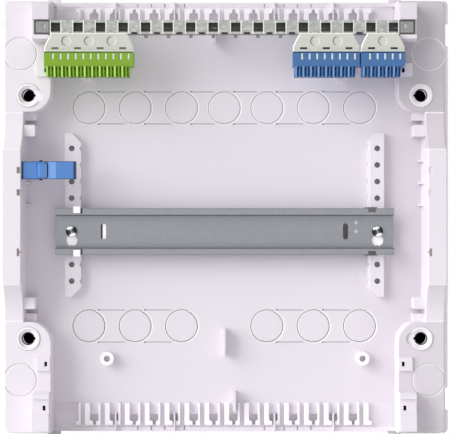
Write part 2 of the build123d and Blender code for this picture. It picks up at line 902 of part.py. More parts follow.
def block_span(first, windows):
    """Left and right ends of a terminal block that covers some windows."""
    left = window_centre(first) - window_pitch / 2 + block_gap / 2
    return left, left + windows * window_pitch - block_gap


def terminal_housing(first, windows):
    """Moulded body of a terminal block, with its wire ports and release slots."""
    left, right = block_span(first, windows)
    ports = 3 * windows - 1
    pitch = window_pitch / 3
    upper = along_x(
        [
            (block_knee_z, block_back),
            (block_knee_z, block_front),
            (block_step_z, block_front),
            (block_step_z, block_back),
        ],
        left,
        right,
    )
    upper += block(
        left + plate_inset,
        right - plate_inset,
        block_tail_back,
        block_step,
        block_step_z - 1,
        block_top_z,
    )
    lower_left = left + lower_inset_left
    lower_right = right - lower_inset_right
    lower = along_x(
        [
            (block_bottom_z, block_back),
            (block_bottom_z, block_knee_height),
            (block_knee_z, block_front - 0.6),
            (block_knee_z + 1, block_front - 0.6),
            (block_knee_z + 1, block_back),
        ],
        lower_left,
        lower_right,
    )
    body = upper + lower
    for index in range(1, ports):
        x = left + port_first + (index - 0.5) * pitch
        half = divider_width / 2
        body += along_x(
            [
                (block_bottom_z - divider_proud, block_back + 4),
                (block_bottom_z - divider_proud, block_knee_height + divider_proud),
                (block_knee_z, block_front - 0.6 + divider_proud),
                (block_knee_z, block_back + 4),
            ],
            x - half,
            x + half,
        )
    pocket = along_x(
        [
            (block_bottom_z + block_wall, block_back + block_wall),
            (block_bottom_z + block_wall, block_knee_height - 1),
            (block_knee_z + 0.8, block_front - block_wall - 0.5),
            (release_high_z, block_front - block_wall - 0.5),
            (release_high_z, block_step - block_wall),
            (block_step_z + block_wall, block_step - block_wall),
            (block_step_z + block_wall, block_step + 1),
            (block_top_z - block_wall, block_step + 1),
            (block_top_z - block_wall, block_tail_back + block_wall),
            (block_step_z - block_wall, block_tail_back + block_wall),
            (block_step_z - block_wall, block_back + block_wall),
        ],
        lower_left + block_wall,
        lower_right - 0.6,
    )
    body -= pocket
    cuts = []
    for index in range(ports):
        x = left + port_first + index * pitch
        bar = (port_width - port_tongue) / 2
        for way in (-1, 1):
            middle = x + way * (port_tongue + bar) / 2
            cuts.append(
                along_x(
                    [
                        (block_bottom_z - 2, block_knee_height - 6),
                        (block_bottom_z - 2, block_knee_height + 4),
                        (block_knee_z - 0.5, block_front + 2),
                        (block_knee_z - 0.5, block_front - 4),
                        (block_bottom_z + block_wall + 1, block_knee_height - 6),
                    ],
                    middle - bar / 2,
                    middle + bar / 2,
                )
            )
        x = left + release_first + index * pitch
        half = release_width / 2
        cuts.append(block(x - half, x + half, block_front - 4, block_front + 1, release_low_z, release_high_z))
    return body - cuts


def label_carrier(first, windows):
    """Grey plate over the rail side of a block, hooked through the rail's windows."""
    left, right = block_span(first, windows)
    low = block_step + plate_clearance
    high = low + plate_thickness
    outline = Polyline(
        (left, plate_low_z),
        (left, plate_shoulder_z),
        (left + plate_inset, plate_high_z),
        (right - plate_inset, plate_high_z),
        (right, plate_shoulder_z),
        (right, plate_low_z),
        close=True,
    )
    plate = on_wall(make_face(outline), low, high)
    plate = chamfer(plate.faces().sort_by(Axis.Y)[0].edges(), plate_chamfer)
    rail_back = tower_seat
    finger_low = block_top_z + plate_clearance
    finger_high = finger_low + hook_thickness
    for index in range(first, first + windows - 1):
        x = window_centre(index) + window_pitch / 2
        half = hook_width / 2
        plate += along_x(
            [
                (plate_high_z - 1, low + 0.1),
                (plate_high_z - 1, high - 0.6),
                (finger_high, high - 0.6),
                (finger_high, rail_back - plate_clearance),
                (finger_high + hook_reach, rail_back - plate_clearance),
                (finger_high, rail_back - hook_depth),
                (finger_low, rail_back - hook_depth),
                (finger_low, low + 0.1),
            ],
            x - half,
            x + half,
        )
    for index in range(first, first + windows - 1):
        x = window_centre(index) + window_pitch / 2
        plate -= post(x, dial_z, dial_r, high - dial_depth, high + 1)
    return plate


def terminal_busbar(first, windows):
    """Flat conductor that lies on the floor of a terminal block."""
    left, right = block_span(first, windows)
    low = block_back + block_wall
    x_low = left + lower_inset_left + block_wall + 0.1
    x_high = right - lower_inset_right - 0.7
    return block(x_low, x_high, low, low + busbar_height, busbar_z[0], busbar_z[1])


def terminal_springs(first, windows):
    """One bent clamp spring for each port, standing on the busbar."""
    left, _ = block_span(first, windows)
    pitch = window_pitch / 3
    low = block_back + block_wall + busbar_height
    high = block_front - block_wall - 0.6
    sheet = spring_sheet
    springs = []
    for index in range(3 * windows - 1):
        x = left + port_first + index * pitch
        back_z = busbar_z[1] - spring_back_inset
        points = [
            (back_z, low),
            (back_z, high),
            (back_z - spring_top_length, high),
            (back_z - spring_reach, low + spring_tip_rise),
            (back_z - spring_reach + sheet, low + spring_tip_rise - sheet),
            (back_z - spring_top_length + sheet / 2, high - sheet),
            (back_z - sheet, high - sheet),
            (back_z - sheet, low + sheet),
            (back_z - spring_foot, low + sheet),
            (back_z - spring_foot, low),
        ]
        spring = along_x(points, x - spring_width / 2, x + spring_width / 2)
        tab_x = left + release_first + index * pitch
        half = release_width / 2 - spring_tab_clearance
        spring += block(
            tab_x - half,
            tab_x + half,
            high - sheet,
            block_front - spring_tab_sink,
            release_low_z + spring_tab_clearance,
            release_high_z - spring_tab_clearance,
        )
        springs.append(spring)
    return Compound(children=springs)


def clip_base():
    """Fixed half of the cable clip, with a tongue in the channel wall and two cheeks."""
    half = clip_length / 2
    wall_x = -(channel_inner_x + clip_front * tan(radians(draft))) + notch_clearance
    edge_x = clip_hinge_x - clip_barrel_r - clip_hinge_gap
    base = block(wall_x, edge_x, clip_back, clip_front, clip_z - half, clip_z + half)
    hinge_height = clip_front - clip_barrel_r
    for way in (-1, 1):
        near, far = sorted((clip_z + way * (half - clip_cheek), clip_z + way * half))
        cheek = Plane.XY.offset(near) * Pos(clip_hinge_x, -hinge_height) * Circle(clip_cheek_r)
        cheek = extrude(cheek, amount=far - near)
        cheek += block(edge_x - 1, clip_hinge_x, hinge_height - clip_cheek_r, clip_front, near, far)
        base += cheek - block(edge_x - 2, clip_arm_end_x, clip_front, clip_front + clip_cheek_r, near, far)
    bore = Plane.XY.offset(clip_z - half - 1) * Pos(clip_hinge_x, -hinge_height) * Circle(clip_pin_r)
    base -= extrude(bore, amount=clip_length + 2)
    tongue_half = clip_tongue_width / 2
    tongue_top = clip_front - clip_tongue_drop
    return base + block(
        wall_x - clip_tongue_reach,
        wall_x + 1,
        tongue_top - clip_tongue_height,
        tongue_top,
        clip_z - tongue_half,
        clip_z + tongue_half,
    )


def clip_arm():
    """Swinging half of the cable clip, shown closed."""
    half = clip_length / 2
    hub_half = half - clip_cheek - clip_side_gap
    hinge_height = clip_front - clip_barrel_r
    groove_x = clip_hinge_x + clip_cheek_r
    plate_x = groove_x + clip_groove
    back = clip_front - clip_arm_thickness
    groove_face = clip_front - clip_groove_depth
    hub = Plane.XY.offset(clip_z - hub_half) * Pos(clip_hinge_x, -hinge_height) * Circle(clip_barrel_r)
    hub = extrude(hub, amount=2 * hub_half)
    hub += along_z(
        [
            (clip_hinge_x, clip_front),
            (groove_x, clip_front),
            (groove_x, groove_face),
            (plate_x + 1, groove_face),
            (plate_x + 1, back),
            (clip_hinge_x, back),
        ],
        clip_z - hub_half,
        clip_z + hub_half,
    )
    plate = along_z(
        [
            (plate_x, groove_face),
            (plate_x + clip_ramp, clip_front),
            (clip_arm_end_x - clip_arm_chamfer, clip_front),
            (clip_arm_end_x, clip_front - clip_arm_chamfer),
            (clip_arm_end_x, clip_front - clip_hook_height),
            (clip_arm_end_x - clip_hook_thickness, clip_front - clip_hook_height),
            (clip_arm_end_x - clip_hook_thickness, back),
            (plate_x, back),
        ],
        clip_z - half,
        clip_z + half,
    )
    bore_r = clip_pin_r + clip_pin_clearance
    bore = Plane.XY.offset(clip_z - half) * Pos(clip_hinge_x, -hinge_height) * Circle(bore_r)
    return hub + plate - extrude(bore, amount=clip_length)


def clip_pin():
    """Hinge pin of the cable clip."""
    low_z = clip_z - clip_pin_length / 2
    barrel = clip_front - clip_barrel_r
    shaft = Plane.XY.offset(low_z) * Pos(clip_hinge_x, -barrel) * Circle(clip_pin_r)
    return extrude(shaft, amount=clip_pin_length)


def write(name, shape):
    """Write one sub-part to its own file."""
    export_step(shape, os.path.join("parts", name + ".step"))


def main():
    """Build and write every piece."""
    os.makedirs("parts", exist_ok=True)
    write("rear_housing", rear_housing())
    write("din_rail", din_rail())
    write("din_rail_screws", Compound(children=[din_rail_screw(-1), din_rail_screw(1)]))
    write("carrier_rail", carrier_rail())
    blocks = {
        "earth_terminal": (0, 4),
        "neutral_terminal_long": (window_count - 5, 3),
        "neutral_terminal_short": (window_count - 2, 2),
    }
    for name, (first, windows) in blocks.items():
        write(name + "_housing", terminal_housing(first, windows))
        write(name + "_label_carrier", label_carrier(first, windows))
        write(name + "_busbar", terminal_busbar(first, windows))
        write(name + "_springs", terminal_springs(first, windows))
    write("cable_clip_base", clip_base())
    write("cable_clip_arm", clip_arm())
    write("cable_clip_pin", clip_pin())


main()
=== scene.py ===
# %% [markdown]
# # A surface distribution box, lit and finished
# The box is the open base of a small wall-mounted distribution board: a pale plastic shell with
# a steel rail, three push-in terminal blocks, two rows of cable combs and a blue cable clip.
# Its solids come from the CAD model as a fixed frame. This lesson gives them their finishes and
# adds the small parts that are easier to shape here than in CAD.

# %% Load the frame
from math import cos, radians, sin

import bpy
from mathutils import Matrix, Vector


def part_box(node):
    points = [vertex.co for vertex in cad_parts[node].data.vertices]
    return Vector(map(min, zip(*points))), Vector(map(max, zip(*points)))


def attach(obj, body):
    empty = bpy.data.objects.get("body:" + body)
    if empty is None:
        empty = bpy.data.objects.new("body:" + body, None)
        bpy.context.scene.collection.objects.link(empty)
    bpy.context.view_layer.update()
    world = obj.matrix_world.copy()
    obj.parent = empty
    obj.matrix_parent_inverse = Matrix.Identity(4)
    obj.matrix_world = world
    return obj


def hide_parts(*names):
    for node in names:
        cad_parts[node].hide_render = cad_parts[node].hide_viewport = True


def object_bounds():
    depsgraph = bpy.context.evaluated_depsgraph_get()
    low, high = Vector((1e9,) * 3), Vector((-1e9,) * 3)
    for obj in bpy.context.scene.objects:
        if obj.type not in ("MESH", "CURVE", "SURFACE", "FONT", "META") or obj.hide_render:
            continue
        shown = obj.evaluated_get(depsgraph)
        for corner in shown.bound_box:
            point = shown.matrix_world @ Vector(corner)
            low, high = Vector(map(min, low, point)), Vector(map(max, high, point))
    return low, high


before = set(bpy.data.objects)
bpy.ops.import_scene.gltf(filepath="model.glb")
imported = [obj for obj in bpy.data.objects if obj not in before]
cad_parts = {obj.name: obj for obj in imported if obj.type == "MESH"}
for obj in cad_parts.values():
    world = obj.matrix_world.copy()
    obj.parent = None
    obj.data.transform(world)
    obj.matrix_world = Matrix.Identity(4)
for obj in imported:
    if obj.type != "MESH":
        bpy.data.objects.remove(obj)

cad_low, cad_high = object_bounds()

# %% [markdown]
# ## The camera
# The photograph was taken straight on, and parts nearer the lens look larger in it. Comparing
# the scale of the floor, the rail and the terminals gives the distance: 1.25 m from the wall.
# A lens could be tried by eye until the outline fits, but then the depths would be wrong. With
# the distance known, one lens length fits all depths at once, so it is worked out from the size
# in pixels that a metre has on the wall.

# %% Place the camera
IMAGE_WIDTH = 450
CAMERA_DISTANCE = 1.25
PIXELS_PER_METRE_AT_ONE_METRE = 1630.6
SENSOR_WIDTH = 36.0
HALF_A_PIXEL = 0.5
NEAREST_SEEN = 0.01

lens = bpy.data.cameras.new("front camera")
lens.sensor_fit = "HORIZONTAL"
lens.sensor_width = SENSOR_WIDTH
lens.lens = SENSOR_WIDTH * PIXELS_PER_METRE_AT_ONE_METRE / IMAGE_WIDTH
lens.shift_x = HALF_A_PIXEL / IMAGE_WIDTH
lens.clip_start = NEAREST_SEEN
camera = bpy.data.objects.new("front camera", lens)
bpy.context.collection.objects.link(camera)
camera.location = (0.0, -CAMERA_DISTANCE, 0.0)
camera.rotation_euler = (radians(90), 0.0, 0.0)
bpy.context.scene.camera = camera
bpy.context.scene.view_settings.view_transform = "Standard"
print("lens", round(lens.lens, 1), "mm")

# %% [markdown]
# ## Shader maths in plain Python
# A procedural finish is a small calculation on the position of each point. Adding every Math
# node by hand hides the idea, so one class wraps an output socket and lets it be added,
# multiplied and compared like a number. A second class holds a material and makes every other
# kind of node through a single method.

# %% A signal behaves like a number
class Signal:
    """The value that leaves a socket, for use in expressions."""

    def __init__(self, finish, socket):
        self.finish = finish
        self.socket = socket

    def maths(self, operation, *values):
        return self.finish.node("ShaderNodeMath", {"operation": operation}, dict(enumerate(values)))

    def __add__(self, other):
        return self.maths("ADD", self, other)

    __radd__ = __add__

    def __sub__(self, other):
        return self.maths("SUBTRACT", self, other)

    def __rsub__(self, other):
        return self.maths("SUBTRACT", other, self)

    def __mul__(self, other):
        return self.maths("MULTIPLY", self, other)

    __rmul__ = __mul__

    def __pow__(self, other):
        return self.maths("POWER", self, other)

    def __abs__(self):
        return self.maths("ABSOLUTE", self)

    def __lt__(self, other):
        return self.maths("LESS_THAN", self, other)

    def __gt__(self, other):
        return self.maths("GREATER_THAN", self, other)

    def within(self, low, high):
        """One between two limits, nought elsewhere."""
        return (self > low) * (self < high)

    def smaller(self, other):
        return self.maths("MINIMUM", self, other)

    def larger(self, other):
        return self.maths("MAXIMUM", self, other)

    def past_nearest(self, first, pitch):
        """Signed distance past the nearest of a row of places that starts at first."""
        return self.maths("WRAP", self - first + pitch / 2, pitch, 0.0) - pitch / 2

    def from_nearest(self, first, pitch):
        return abs(self.past_nearest(first, pitch))


def away(first, second):
    """The distance of a point from a middle, from its offsets along two axes."""
    return (first**2 + second**2) ** 0.5


print("signals can be added, multiplied and compared")

# %% A finish is a material that is written as a calculation
BLACK = (0.0, 0.0, 0.0)


class Finish:
    """A material with its Principled shader, its nodes and a few plain patterns."""

    def __init__(self, name, roughness, metallic=0.0):
        self.material = bpy.data.materials.new(name)
        self.material.use_nodes = True
        self.nodes = self.material.node_tree.nodes
        self.links = self.material.node_tree.links
        self.shader = self.nodes["Principled BSDF"]
        self.set("Roughness", roughness)
        self.set("Metallic", metallic)

    def node(self, kind, settings=None, values=None, output=0):
        """Add a node; the stops of a colour ramp are given as places and their colours."""
        made = self.nodes.new(kind)
        settings = dict(settings or {})
        stops = settings.pop("stops", None)
        for key, value in settings.items():
            setattr(made, key, value)
        if stops:
            for _ in range(len(stops) - 2):
                made.color_ramp.elements.new(0.5)
            for element, (place, tint) in zip(made.color_ramp.elements, stops):
                element.position = place
                element.color = (*tint, 1.0)
        for key, value in (values or {}).items():
            self.feed(made.inputs[key], value)
        return Signal(self, made.outputs[output])

    def feed(self, socket, value):
        if isinstance(value, Signal):
            self.links.new(value.socket, socket)
        elif isinstance(value, tuple) and len(value) == 3 and socket.type == "RGBA":
            socket.default_value = (*value, 1.0)
        else:
            socket.default_value = value

    def set(self, name, value):
        self.feed(self.shader.inputs[name], value)

    def place(self):
        return self.node("ShaderNodeTexCoord", output="Object")

    def split(self, vector):
        """The three parts of a vector."""
        parts = self.node("ShaderNodeSeparateXYZ", values={0: vector}).socket.node.outputs
        return [Signal(self, part) for part in parts]

    def across_height_up(self):
        """Millimetres to the right, out from the wall and up."""
        x, y, z = self.split(self.place())
        return x * 1000, y * -1000, z * 1000

    def noise(self, scale, detail=2.0, rough=0.5, stretch=(1, 1, 1)):
        spot = self.node("ShaderNodeMapping", values={0: self.place(), "Scale": stretch})
        values = {"Vector": spot, "Scale": scale, "Detail": detail, "Roughness": rough}
        return self.node("ShaderNodeTexNoise", values=values)

    def mix(self, factor, first, second):
        values = {0: factor, 6: first, 7: second}
        return self.node("ShaderNodeMix", {"data_type": "RGBA"}, values, output=2)

    def lay(self, base, marks):
        """Lay marks over a colour in turn; each mark is a mask and its colour."""
        for mask, tint in marks:
            base = self.mix(mask, base, tint)
        return base

    def layers(self, base, *marks):
        """Give the surface a colour with marks on it."""
        base = self.lay(base, marks)
        self.set("Base Color", base)
        return base

    def glow(self, *marks):
        """Let the masked places give off a weak light, and nothing else."""
        self.set("Emission Color", self.lay(BLACK, marks))
        self.set("Emission Strength", 1.0)

    def relief(self, height, depth, edge):
        """Bump the surface by a height signal, over edges that are rounded by edge metres."""
        rounded = self.node("ShaderNodeBevel", {"samples": 4}, {"Radius": edge})
        values = {"Height": height, "Distance": depth, "Strength": 1.0, "Normal": rounded}
        self.set("Normal", self.node("ShaderNodeBump", values=values))

    def paint(self, *names):
        for name in names:
            target = bpy.data.objects[name]
            target.data.materials.clear()
            target.data.materials.append(self.material)


print("finishes can be made")

# %% [markdown]
# ## Colours as they look
# A picture editor shows colours from 0 to 255, and a shader wants the linear amount of light.
# The colours could be given as linear numbers, but nobody can check those by eye. So each
# colour is written as it looks and one function turns it into light.

# %% Turn a screen colour into light
def shade(red, green, blue):
    """The linear colour of a screen colour that is written from 0 to 255."""
    return tuple(((value / 255 + 0.055) / 1.055) ** 2.4 for value in (red, green, blue))


print("half-way grey is", round(shade(128, 128, 128)[0], 3), "of the light of white")

# %% [markdown]
# ## The shell's plastic
# A moulded shell is never one flat grey. Its faces carry a very fine spark-eroded grain, large
# panels drift a little in tone where the melt cooled last, and every edge has a small radius
# that catches the light. The radius could be cut into the solid, at the price of many faces.
# Here the grain is a bump, the drift is a slow noise, and the edge radius comes from a Bevel
# node, so the solid itself stays light.

# %% A recipe for moulded plastic
PLASTIC_GLOSS_SWING = 0.12


def moulded(name, tint, deep, roughness=0.42):
    """A plastic with a tone that drifts to a deeper one, a fine grain and soft edges."""
    finish = Finish(name, roughness)
    finish.tone = finish.mix(finish.noise(9.0, detail=3.0), tint, deep)
    finish.set("Base Color", finish.tone)
    patches = finish.noise(900.0) * PLASTIC_GLOSS_SWING
    finish.set("Roughness", patches + (roughness - PLASTIC_GLOSS_SWING / 2))
    finish.relief(finish.noise(2600.0, detail=1.0), depth=0.00004, edge=0.0004)
    return finish


print("recipe for plastic is ready")

# %% [markdown]
# ## Places on the shell
# The shell carries marks that follow its form: collars, scores, holes and combs. Each could be
# a face with a material of its own, but the faces of a solid rarely end where a mark does. So
# each mark is a mask made from position, in millimetres, and can be read like a drawing. The
# four corners are nearly alike, so most masks use the distance from the middle.

# %% Start the shell's finish
RIB_TOP, SHELF_TOP = 12.0, 25.0
RAIL_MIDDLE = -10.9
RIB_MIDDLE = 116.0

shell_plastic = moulded("shell plastic", shade(239, 233, 240), shade(234, 227, 236))
across, height, up = shell_plastic.across_height_up()
side, rise = abs(across), abs(up)
on_left, on_right = across < 0, across > 0
below, above = up < 0, up > 0
right_half, top_half = on_right * 2 - 1, above * 2 - 1
from_rail = abs(up - RAIL_MIDDLE)
print("places on the shell are measured in mm from its middle and from the wall")

# %% [markdown]
# ## Broad tones
# The big faces of the shell differ a little. The floor gets painted shade, a little deeper than the
# shelves, and more of it towards the right wall. The shelves on the right get a painted shadow of
# the towers and terminals, deeper on the upper one, and the upper ramp on the right, which turns
# from the lamp, gets painted shade. The ends of the ramps get a painted highlight, the floor under
# the rail's slots gets painted shade, and the tops of the towers are a little darker. A gradient
# over the whole box would spoil the flat faces, so each face gets its own tone.

# %% Mask the big faces
ON_SHELF = SHELF_TOP - 0.2
RAMP_MIDDLE, HALF_RAMP = 64.4, 13.9

# Painted shade on the floor, deeper towards the right wall, on the right shelves, on the upper
# right ramp and under the slots; painted highlight at the ramp ends.
floor_shade = (height < 6.2) * (side < 150.0)
right_floor_shade = floor_shade * ((across - 96.0) * 0.02).smaller(1.0).larger(0.0)
right_shelf_shadow = (across > 131.0) * height.within(24.0, 25.3) * (rise > 79.0)
towers = (side < 144.0) * (height > 30.0) * (up > 146.0)
right_ramp_shade = up.within(50.6, 78.2) * (across > 150.5) * (height > ON_SHELF)
ramp_end_highlights = (abs(abs(rise - RAMP_MIDDLE) - HALF_RAMP) < 0.3) * (side > 150.5) * (height > ON_SHELF)
slot_shade = (from_rail < 6.4) * (height < 6.1) * side.within(89.4, 94.4)
print("the ramps are", 2 * HALF_RAMP, "mm long, their middles", RAMP_MIDDLE, "mm up and down")

# %% [markdown]
# ## Seats, bosses and rib holes
# Four collars take the wall screws. Their tops get a painted highlight, with painted shade round
# their foot and a near-black painted shadow at the rim of each hole. Two ribs carry the rail and
# have a row of small holes, and two bosses stand on the floor. The holes are in the solid. In a
# render a deep hole comes out darker than the real one looks, so a mask paints light into each
# inside, a paler grey, and further down the same masks add a weak painted glow. The rib edges and
# the rings round the bosses get painted highlights, and the seats under the keyholes get painted
# light.

# %% Mask the seats, bosses and ribs
FIXING_SIDE, FIXING_RISE = 147.6, 91.4
COLLAR_RADIUS = 8.7
BOSS_SIDE, BOSS_SHIFT, BOSS_RISE = 97.0, 7.8, 107.5
BOSS_HOLE_RADIUS = 2.25
RIB_HOLE_PITCH = 12.6
KEYHOLE_UP = -17.6

from_fixing = away(side - FIXING_SIDE, rise - FIXING_RISE)
# Painted highlight on the collar tops, painted shade at their foot and painted shadow at the hole
# rims.
collar_highlight = (from_fixing < COLLAR_RADIUS) * (height > 23.3)
collar_foot_shade = from_fixing.within(COLLAR_RADIUS, 9.3) * (height > 24.0)
hole_rim_shadow = (from_fixing < 4.95) * height.within(22.0, 24.2)
from_boss = away(abs(across + top_half * BOSS_SHIFT) - BOSS_SIDE, rise - BOSS_RISE)
# Painted light in the boss and rib holes and on the keyhole seats; painted highlights on the boss
# rings and the rib edges.
boss_hole_glow = (from_boss < BOSS_HOLE_RADIUS) * (height < 12.9)
boss_ring_highlight = from_boss.within(BOSS_HOLE_RADIUS, 5.4) * (height > 12.5)
rib_row = up.past_nearest(RAIL_MIDDLE, RIB_HOLE_PITCH)
from_rib_hole = away(side - RIB_MIDDLE, rib_row)
in_rib = (height > 4.0) * (height < RIB_TOP + 0.2) * up.within(-54.0, 58.0)
rib_hole_light = (from_rib_hole < 2.2) * in_rib
rib_centre_light = rib_hole_light * (from_rib_hole < 0.9)
rib_faces = side.within(109.5, 110.6) + side.within(121.2, 122.4)
rib_edge_highlight = rib_faces * height.within(11.5, 12.2)
keyhole_reach = (side - RIB_MIDDLE) ** 2 + (up - KEYHOLE_UP) ** 2
keyhole_seat_light = (keyhole_reach < 22.0) * height.within(11.0, 12.2)
print("wall screws stand", 2 * FIXING_SIDE, "by", 2 * FIXING_RISE, "mm apart")

# %% [markdown]
# ## Knock-outs
# A knock-out is a disc that is pushed out of the floor for a cable. A round score makes it
# weak. One flank of the score turns from the lamp and is dark, and the one that faces the lamp
# shines. The score is about a millimetre wide, little more than a pixel here, and light alone
# draws it too faintly. So the masks give its flanks the tone that the eye sees. Thin lines join
# neighbouring discs, and a dot marks the start of each.

# %% Mask the scores
KNOCKOUT_PITCH = 35.3
FIRST_KNOCKOUT = 32.6
KNOCKOUT_ROW = 83.2
SCORE_RADIUS = 12.2
SHELF_DISC_SIDE, SHELF_DISC_RISE = 153.3, 122.5
LAMP_ACROSS, LAMP_UP = 0.9, 0.43

in_middle = side < 15.0
beside = side.past_nearest(FIRST_KNOCKOUT, KNOCKOUT_PITCH) * (1 - in_middle) + side * in_middle
along = beside * right_half
from_row = rise - KNOCKOUT_ROW
on_floor = (height < 6.1) * (side < 118.0) * (1 - in_middle * below)


def score_flanks(beside, outward, where):
    """The flank of a round score that turns from the lamp, and the one that faces it."""
    past = away(beside, outward) - SCORE_RADIUS
    to_lamp = outward * top_half * LAMP_UP - beside * right_half * LAMP_ACROSS
    score = (abs(past) < 0.6) * where
    return (past * to_lamp > 0) * score, (past * to_lamp < 0) * score


dark_floor, lit_floor = score_flanks(beside, from_row, on_floor)
dark_shelf, lit_shelf = score_flanks(
    side - SHELF_DISC_SIDE, rise - SHELF_DISC_RISE, height.within(23.0, 25.1),
)
# A bright halo round each score is a painted highlight.
halo_ring = away(beside, from_row).within(12.8, 13.4)
score_halo_highlight = halo_ring * on_floor * (1 - along.within(-5.0, 5.0) * 0.6)
between_rings = along.within(6.6, 17.7) + along.within(-17.7, -7.8)
joined = on_floor * (side < 103.2) * ((side > FIRST_KNOCKOUT) + above).smaller(1.0)
tangents = (abs(abs(from_row) - SCORE_RADIUS) < 0.32) * between_rings * joined
dots = ((along - 7.2) ** 2 + (abs(from_row) - 12.4) ** 2 < 0.5) * joined
print("knock-outs stand", KNOCKOUT_PITCH, "mm apart in rows at", KNOCKOUT_ROW, "mm")

# %% [markdown]
# ## Combs, notches and hooks
# The combs at both ends hold the cables, and the tips of their teeth get a painted highlight and a
# weak painted glow. Small notches in the side channels catch the cover; they get painted shade, and
# on the upper right a painted highlight. Nibs hold the rail on its rib and get painted highlights,
# the rib seen through the notches of the rail's brim gets painted shade, and a strip of the floor
# under the carrier rail gets a painted shadow. These are details of one to three millimetres, so
# again a mask sets their tone.

# %% Mask the combs and notches
COMB_SIDE = 128.0

# Painted highlight and glow on the comb tips, painted shadow under the carrier rail, painted shade
# and highlight in the notches, painted highlights on the nibs and painted shade under the brim
# notches.
comb_tip_light = rise.within(141.3, 158.3) * height.within(8.9, 10.2) * (side < COMB_SIDE)
carrier_shadow = up.within(142.4, 145.6) * (height < 10.6) * (side < 134.0)
notches = side.within(151.45, 157.0) * height.within(37.1, 38.3) * (rise < 45.0)
notch_highlights = notches * on_right * above
at_lips = (107.0, RIB_MIDDLE)
nib_highlights = side.within(*at_lips) * height.within(18.0, 23.0) * (from_rail < 21.0)
lip_notch_shade = across.within(*at_lips) * height.within(5.0, 12.6) * from_rail.within(12.8, 18.4)
print("the combs reach", COMB_SIDE, "mm to each side")

# %% [markdown]
# ## Lay the marks on the shell
# The marks go on as a decorator would paint them: the big faces first, then the small marks,
# and the fine bright lines last. Order matters only where two masks overlap, and there the
# later one wins.

# %% Lay the broad tones
# Painted shade and highlights on the big faces, as masked above.
broad_tones = shell_plastic.layers(
    shell_plastic.tone,
    (floor_shade, shade(232, 226, 234)),
    (right_floor_shade, shade(213, 206, 214)),
    (slot_shade * on_right, shade(150, 145, 150)),
    (slot_shade * on_left, shade(30, 28, 30)),
    (towers, shade(228, 221, 230)),
    (right_ramp_shade, shade(218, 209, 217)),
    (ramp_end_highlights, shade(255, 253, 255)),
    (right_shelf_shadow * above, shade(203, 196, 204)),
    (right_shelf_shadow * below, shade(222, 215, 223)),
)
print("broad tones are laid on", shell_plastic.material.name)

# %% Lay the small marks
# Most of these marks are painted light and shade, as the masks above say: highlights, shadows,
# light in the holes and the lit and shaded flanks of the scores. The thin lines and dots between
# the knock-outs are the shell's own marks.
shell_plastic.layers(
    broad_tones,
    (collar_highlight, shade(248, 244, 249)),
    (collar_foot_shade, shade(200, 192, 201)),
    (hole_rim_shadow, shade(16, 15, 16)),
    (rib_edge_highlight * on_right, shade(255, 253, 255)),
    (boss_ring_highlight, shade(254, 252, 254)),
    (rib_hole_light, shade(142, 135, 142)),
    (rib_centre_light, shade(172, 166, 172)),
    (keyhole_seat_light + nib_highlights, shade(254, 252, 254)),
    (lip_notch_shade, shade(118, 117, 120)),
    (tangents, shade(196, 188, 197)),
    (dots, shade(150, 142, 150)),
    (comb_tip_light, shade(252, 249, 253)),
    (notches, shade(186, 174, 174)),
    (notch_highlights, shade(252, 249, 252)),
    (dark_floor, shade(184, 176, 184)),
    (dark_floor * below, shade(146, 138, 146)),
    (carrier_shadow, shade(88, 86, 88)),
    (dark_shelf, shade(218, 211, 219)),
    ((lit_floor + lit_shelf + score_halo_highlight).smaller(1.0), shade(252, 249, 252)),
)
shell_plastic.paint("rear_housing")
print("shell painted, with", len(shell_plastic.nodes), "nodes")

# %% [markdown]
# ## Painted glow in the shade
# The pockets and gaps between the thin comb walls, the foot of the end walls, the tips of the
# teeth, the deep holes, the keyhole seats and the nibs would sit in shade. Subsurface scattering
# through the thin pale walls would lighten some of this at a high price in render time. A weak
# painted glow behind a mask lightens them all instead and costs nothing.

# %% Let the pockets glow
UPPER_GLOW, LOWER_GLOW = 1.0, 0.4

pocket_glow = rise.within(149.9, 158.6) * (height < 5.9) * (side < COMB_SIDE)
gap_glow = rise.within(141.2, 158.6) * height.within(5.9, 9.2) * (side < COMB_SIDE)
wall_foot_glow = rise.within(158.6, 160.1) * (height < 8.2) * (side < COMB_SIDE)
level = LOWER_GLOW + above * (UPPER_GLOW - LOWER_GLOW)
shell_plastic.glow(
    (gap_glow * level * (1 - carrier_shadow), shade(74, 73, 74)),
    (wall_foot_glow * level, shade(114, 112, 114)),
    (comb_tip_light * (1 - carrier_shadow), shade(60, 59, 60)),
    (keyhole_seat_light, shade(96, 95, 96)),
    (boss_hole_glow + nib_highlights, shade(96, 94, 96)),
    (rib_hole_light, shade(52, 50, 52)),
    (pocket_glow * level, shade(78, 77, 78)),
)
print("the lower comb glows at", LOWER_GLOW, "of the upper one")

# %% [markdown]
# ## Galvanised steel
# The rails are zinc-plated strip. Zinc grows in patches, so a cell pattern sets the tone and the
# gloss of each patch, and fine lines along the rail show how the strip was rolled. Plain noise
# alone would look like cast metal. The dark lines at the folds of the mounting rail are painted
# shade, laid on with its other marks.

# %% A recipe for zinc
ZINC_GLOSS_SWING = 0.16


